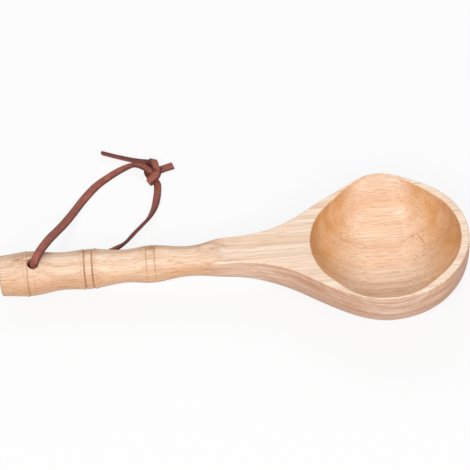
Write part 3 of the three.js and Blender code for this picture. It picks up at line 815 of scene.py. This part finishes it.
# %% Shared group
def make_mottle():
    """Value = 0.5 + (noise - 0.5) * contrast, held between 0 and 1."""
    group = bpy.data.node_groups.new("mottle", "ShaderNodeTree")
    for name, kind in (("Vector", "Vector"), ("Scale", "Float"), ("Detail", "Float"), ("Contrast", "Float")):
        group.interface.new_socket(name, in_out="INPUT", socket_type="NodeSocket" + kind)
    group.interface.new_socket("Value", in_out="OUTPUT", socket_type="NodeSocketFloat")
    given = group.nodes.new("NodeGroupInput").outputs
    sockets = {"Vector": given["Vector"], "Scale": given["Scale"], "Detail": given["Detail"]}
    noise = place(group, "TexNoise", sockets).outputs["Fac"]
    centred = sums(group, "SUBTRACT", noise, 0.5)
    pulled = {0: centred, 1: given["Contrast"], 2: 0.5}
    raised = place(group, "Math", pulled, operation="MULTIPLY_ADD", use_clamp=True)
    group.links.new(raised.outputs[0], group.nodes.new("NodeGroupOutput").inputs["Value"])
    return group


mottle_group = make_mottle()


def mottle(tree, vector, scale, detail, contrast):
    """The shared group placed in a material, with its own values."""
    sockets = {"Vector": vector, "Scale": scale, "Detail": detail, "Contrast": contrast}
    return place(tree, "Group", sockets, node_tree=mottle_group).outputs["Value"]


print("mottle sockets", [item.name for item in mottle_group.interface.items_tree])

# %% [markdown]
# ## Pale hardwood
# The wood is a pale hardwood with a fine, straight grain, sanded and oiled. Its growth layers stand
# steeply in the billet, so they run as long lines along the handle, the neck and the rim, and as
# curved figure wherever the surface dips through them. A side branch lifts them into a swirl,
# its burr is flecked, and the nodes have burrs too. A dark hairline crosses the hollow. We first
# turn the coordinates into the billet's own frame, in millimetres.

# %% Wood, part one: coordinates, swirls and flaws
LAYER_TURN, FLAW_TURN = np.radians([-66, 63.6])
BEND, BURR_LIFT = 8.0, 4.6
# Centre, size and full value of each:
HOLLOW_SWIRL = (21, 20, -25), (15, 9, 12), 3.6
NECK_BURR = (-104, 2, 2), (15, 8, 12), 0.65
NODE_BURRS = [((-215, 0, 6), (13, 10, 9), 1.0), ((-177, 4, 4), (11, 8, 8), 0.9), ((-140, 2, 4), (9, 9, 9), 1.0)]
HAIRLINE, EYE = ((-7.1, 29.1, -25), (7, 0.6, 6), 0.6), ((17.5, 23.2, -25.6), (1.8, 1.4, 3), 0.4)
wood, tree, wood_shader = new_material("oiled_wood")
home = -(TURN_DOWN.T @ SHIFT) / MM
in_row = place(tree, "TexCoord", {}).outputs["Object"]
billet = stretched(tree, in_row, (1 / MM,) * 3, (0, TILT, 0), home.tolist())


def swirl(centre, size, rise, vector=billet):
    """A value that is full at a centre and falls off to none at its size in x, y and z, by a soft step."""
    shift = -np.array(centre) / size
    near = stretched(tree, vector, (1 / np.array(size)).tolist(), shift=shift.tolist())
    reach = place(tree, "VectorMath", {0: near}, operation="LENGTH").outputs["Value"]
    return ranged(tree, reach, 1.0, 0.0, rise, interpolation_type="SMOOTHSTEP")


burr = swirl(*NECK_BURR)
slanted = stretched(tree, billet, (1, 1, 1), (0, 0, FLAW_TURN))
flaw = sums(tree, "MAXIMUM", swirl(*HAIRLINE, slanted), swirl(*EYE))
print("billet starts at", home.round(2), "mm from the row's origin")

# %% [markdown]
# The layers are turned, bent a little and lifted by the swirls. Each kind of grain is noise
# that changes fast across it and slowly along it, so a number below is how many waves there are
# in a millimetre along x, y and z.

# %% Wood, part two: layers and grain
def grain(vector, waves, detail, contrast):
    """Noise with so many waves per millimetre along x, y and z, pulled apart by a contrast."""
    return mottle(tree, stretched(tree, vector, waves), 1.0, detail, contrast)


bend = grain(billet, (0.009, 0.03, 0.03), 1.5, 1.0)
lift = times(tree, bend, BEND, -BEND / 2)
lift = sums(tree, "ADD", lift, swirl(*HOLLOW_SWIRL))
lift = times(tree, burr, BURR_LIFT, lift)
lifted = place(tree, "CombineXYZ", {"Z": lift}).outputs[0]
turned = stretched(tree, billet, (1, 1, 1), (LAYER_TURN, 0, 0))
layers = place(tree, "VectorMath", {0: turned, 1: lifted}, operation="ADD").outputs[0]
for node_burr in NODE_BURRS:
    burr = sums(tree, "MAXIMUM", burr, swirl(*node_burr))
bands = grain(layers, (0.008, 0.05, 0.28), 2.0, 2.8)
lines = grain(layers, (0.007, 0.1, 0.8), 3.0, 2.8)
flecks = grain(layers, (0.22, 0.45, 0.7), 3.0, 3.4)
fibres = grain(billet, (0.013, 1.0, 1.0), 4.0, 3.0)
vessels = grain(billet, (0.06, 1.8, 1.8), 2.0, 2.6)
patches = grain(billet, (0.07, 0.08, 0.08), 3.0, 2.4)
streaks = grain(billet, (0.03, 0.03, 0.6), 4.0, 4.0)
print("kinds of grain use", len(tree.nodes), "nodes")

# %% [markdown]
# Colour comes in layers, like the wood: a pale ground, tan bands, thin brown lines, fine fibres
# and short dark pores. Where the outside faces level or down it has its own level streaks, and it is
# darker and greyer, which is painted shade.

# %% Wood, part three: ground and figure
PALE, TAN = (0.97, 0.815, 0.67, 1), (0.87, 0.655, 0.49, 1)
LINE, PORE, SHADE_BELOW = (0.6, 0.31, 0.2, 1), (0.42, 0.21, 0.13, 1), (0.77, 0.7, 0.68, 1)
LINES, LINES_IN_HOLLOW, LINES_FROM = 0.3, -0.12, 0.5
PORES, PORES_FROM, STREAKS = 0.5, 0.6, 0.8
FIBRES, FIBRES_ON_END, FIBRES_ON_HANDLE = 0.4, -0.2, 0.25
hollow, end_grain, handle_tone_and_shade, side = (stored(tree, name) for name in ("hollow", "end_grain", "handle_tone_and_shade", "side"))
line_share = times(tree, hollow, LINES_IN_HOLLOW, LINES)
line_mask = ranged(tree, lines, LINES_FROM, top=line_share)
fibre_share = times(tree, end_grain, FIBRES_ON_END, FIBRES)
# fibres show more on the handle, and most on its lower half, along with its painted shade
fibre_share = times(tree, handle_tone_and_shade, FIBRES_ON_HANDLE, fibre_share)
fibre_mask = times(tree, fibres, fibre_share)
side_mask = times(tree, streaks, times(tree, side, STREAKS))
pore_mask = ranged(tree, vessels, PORES_FROM, top=PORES)
# faces that look level or down get level streaks and painted shade
colour = blended(
    tree, PALE, (bands, TAN, "MIX"), (line_mask, LINE, "MIX"), (fibre_mask, TAN, "MULTIPLY"),
    (side_mask, LINE, "MIX"), (side, SHADE_BELOW, "MULTIPLY"), (pore_mask, PORE, "MIX"),
)
print("wood nodes so far", len(tree.nodes))

# %% [markdown]
# Oil and painted shade come last. End grain is darker and warmer, because more oil went in, and it
# went in unevenly; in the hollow the darkening is partly that oil and partly painted shade. The
# handle's darker tone with painted shade on its lower half, burrs, cuts with a painted shade line at
# the handle's end, and painted shade in the hole follow. The fibres change the roughness a little,
# and with the pores they give the surface its relief.

# %% Wood, part four: oil, stains, painted shade and relief
# The first colour darkens oil-soaked end grain, and in the hollow it is partly painted shade.
OIL_AND_HOLLOW_SHADE, HANDLE_TONE_AND_SHADE, BURR = (0.77, 0.5, 0.23, 1), (0.83, 0.7, 0.57, 1), (0.6, 0.37, 0.23, 1)
CUT, PAINTED_HOLE_SHADE = (0.3, 0.12, 0.06, 1), (0.02, 0.01, 0.006, 1)
OIL_ON_END, OIL_MORE, HOLLOW_SHADE, OIL_LEAST, OIL_SWING = 0.4, 0.14, 0.31, 0.75, 0.5
ROUGH, SMOOTHER, ROUGH_SWING, RIDGE = 0.44, -0.1, 0.1, 0.3
end_thirst = times(tree, end_grain, times(tree, hollow, OIL_MORE, OIL_ON_END))
oil_and_shade = times(tree, hollow, HOLLOW_SHADE, end_thirst)
oil_and_shade = times(tree, oil_and_shade, times(tree, patches, OIL_SWING, OIL_LEAST))
burr_mask = times(tree, burr, flecks)
# the cut lines' brown, the painted shade at the handle's end, and the hairline
cut_flaw_and_end_shade = sums(tree, "MAXIMUM", stored(tree, "cut_line_and_end_shade"), flaw)
colour = blended(
    # the second tint is the handle's darker tone with painted shade on its lower half
    tree, colour, (oil_and_shade, OIL_AND_HOLLOW_SHADE, "MULTIPLY"), (handle_tone_and_shade, HANDLE_TONE_AND_SHADE, "MULTIPLY"),
    # the last mix is painted shade in the hole
    (burr_mask, BURR, "MULTIPLY"), (cut_flaw_and_end_shade, CUT, "MIX"), (stored(tree, "painted_hole_shade"), PAINTED_HOLE_SHADE, "MIX"),
)
roughness = times(tree, fibres, ROUGH_SWING, times(tree, hollow, SMOOTHER, ROUGH))
relief = sums(tree, "SUBTRACT", times(tree, fibres, RIDGE), pore_mask)
dress(tree, wood_shader, colour, roughness, relief, 0.25, 0.08 * MM)
fill(tree, wood_shader, {"IOR": 1.45})
spoon.data.materials.clear()
spoon.data.materials.append(wood)
print("wood nodes", len(tree.nodes))

# %% [markdown]
# ## Brown leather
# The thong is soft vegetable-tanned leather. Its smooth side has a fine pebbled grain and an
# uneven dye, its flesh side is more even, and it turns darker towards its cut edges.
# The strap already knows its edges and its sides, so the material only mixes colours by those
# numbers and adds the same mottling at two sizes.

# %% Leather
HIDE_DARK, HIDE_LIGHT = (0.205, 0.056, 0.042, 1), (0.49, 0.148, 0.097, 1)
FLESH, CUT_EDGE = (0.26, 0.082, 0.055, 1), (0.075, 0.026, 0.024, 1)
DYE, PEBBLE, HIDE_ROUGH, HIDE_SWING = 330.0, 1500.0, 0.6, 0.2
FLESH_FROM, FLESH_TO, FLESH_SHARE, EDGE_FROM, EDGE_SHARE = 0.55, 0.95, 0.6, 0.62, 0.75
leather, tree, hide_shader = new_material("brown_leather")
hide_place = place(tree, "TexCoord", {}).outputs["Object"]
dye = mottle(tree, hide_place, DYE, 4.0, 2.6)
pebble = mottle(tree, hide_place, PEBBLE, 2.0, 2.8)
tone = times(tree, pebble, 0.5, times(tree, dye, 0.5))
flesh = times(tree, ranged(tree, stored(tree, "flesh_side"), FLESH_FROM, FLESH_TO), FLESH_SHARE)
edge = times(tree, ranged(tree, stored(tree, "near_cut_edge"), EDGE_FROM), EDGE_SHARE)
colour = blended(tree, HIDE_DARK, (tone, HIDE_LIGHT, "MIX"), (flesh, FLESH, "MIX"), (edge, CUT_EDGE, "MIX"))
dress(tree, hide_shader, colour, times(tree, pebble, HIDE_SWING, HIDE_ROUGH), pebble, 0.5, 0.12 * MM)
fill(tree, hide_shader, {"Specular IOR Level": 0.35})
for piece in thong:
    piece.data.materials.append(leather)
print("leather nodes", len(tree.nodes))

# %% [markdown]
# ## Floor
# The spoon lies on a white table that runs out of the picture. For all light that falls on it the
# floor is matt, so it throws light back up under the bowl and takes the shadow. For the camera and
# for mirror-like rays it mostly glows, which makes it white and keeps the shadow soft.

# %% Floor
GLOW, HALF_FLOOR = 0.86, 4.0
corners = np.array([(-1, -1, 0), (1, -1, 0), (1, 1, 0), (-1, 1, 0)]) * HALF_FLOOR
floor = make_piece("floor", corners, [[0, 1, 2, 3]])
sweep, tree, matt = new_material("studio_floor")
fill(tree, matt, {"Base Color": (0.82, 0.82, 0.82, 1), "Roughness": 0.9, "Specular IOR Level": 0.1})
rays = place(tree, "LightPath", {}).outputs
mirrored = sums(tree, "MAXIMUM", rays["Is Glossy Ray"], rays["Is Transmission Ray"])
seen = sums(tree, "MAXIMUM", rays["Is Camera Ray"], mirrored)
glow = place(tree, "Emission", {"Color": (1, 1, 1, 1), "Strength": 1.0}).outputs[0]
mixed = place(tree, "MixShader", {0: times(tree, seen, GLOW), 1: matt.outputs[0], 2: glow}).outputs[0]
fill(tree, tree.nodes["Material Output"], {"Surface": mixed})
floor.data.materials.append(sweep)
print("floor glows by", GLOW)

# %% [markdown]
# ## Light
# The photograph was taken in a white studio: no hard shadow, two soft highlights in the hollow, and
# a bright far wall, which only light from the camera's side can reach. So there is a softbox on each
# side of the camera, a weaker one behind that lights the top of the handle, and a white surround.
# Their powers let a surface that looks straight up show its colour about as written.

# %% Lamps and surround
AIM_POINT = np.array([0.06, 0.0, 0.03])


def softbox(name, spot, size, power):
    """A rectangular lamp at a place, turned so that it faces the spoon."""
    lamp = bpy.data.lights.new(name, "AREA")
    lamp.shape, lamp.size, lamp.size_y, lamp.energy = "RECTANGLE", size[0], size[1], power
    back = unit(spot - AIM_POINT)
    right = unit(np.cross([0, 1, 0], back))
    box = add_to_scene(name, lamp)
    box.matrix_world = pose_from(right, np.cross(back, right), back, spot)
    return box


boxes = [
    softbox("left_softbox", (-0.48, -1.5, 1.3), (0.2, 0.7), 21),
    softbox("right_softbox", (0.74, -1.5, 1.3), (0.2, 0.7), 16),
    softbox("back_softbox", (-0.1, 1.2, 1.4), (1.4, 0.6), 10.5),
]
world = bpy.data.worlds.new("studio")
world.use_nodes = True
surround = {"Color": (1, 1, 1, 1), "Strength": 0.29}
fill(world.node_tree, world.node_tree.nodes["Background"], surround)
bpy.context.scene.world = world
bpy.context.scene.view_settings.view_transform = "Standard"
print("lamps", [box.name for box in boxes])
